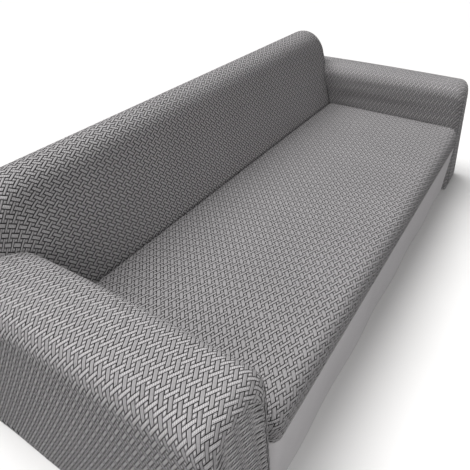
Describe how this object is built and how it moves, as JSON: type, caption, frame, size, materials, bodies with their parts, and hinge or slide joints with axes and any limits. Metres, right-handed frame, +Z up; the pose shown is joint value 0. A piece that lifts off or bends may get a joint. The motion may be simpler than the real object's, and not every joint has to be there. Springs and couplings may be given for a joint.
{
  "type": "sofa slipcover",
  "caption": "Fitted stretch cover for a long sofa: back, seat, skirt and arm panels sewn in the creases, hollow and open underneath, in a grey raised weave.",
  "frame": {"origin": "on the floor, in the middle of the cover's length and depth, at the level of the hem", "axes": "+X along the sofa to the arm on the right when seen from the front, +Y from the seat's front edge towards the back, +Z up"},
  "size_m": [2.22, 0.9462, 0.66],
  "materials": {
    "jacquard": "matt raised basket weave in mid grey",
    "jersey": "matt plain stretch jersey in mid grey"
  },
  "bodies": {
    "root": {"back_panel": "jacquard", "seat_panel": "jacquard", "front_skirt": "jersey", "arm_panel_left": "jacquard", "arm_panel_right": "jacquard"}
  },
  "joints": []
}
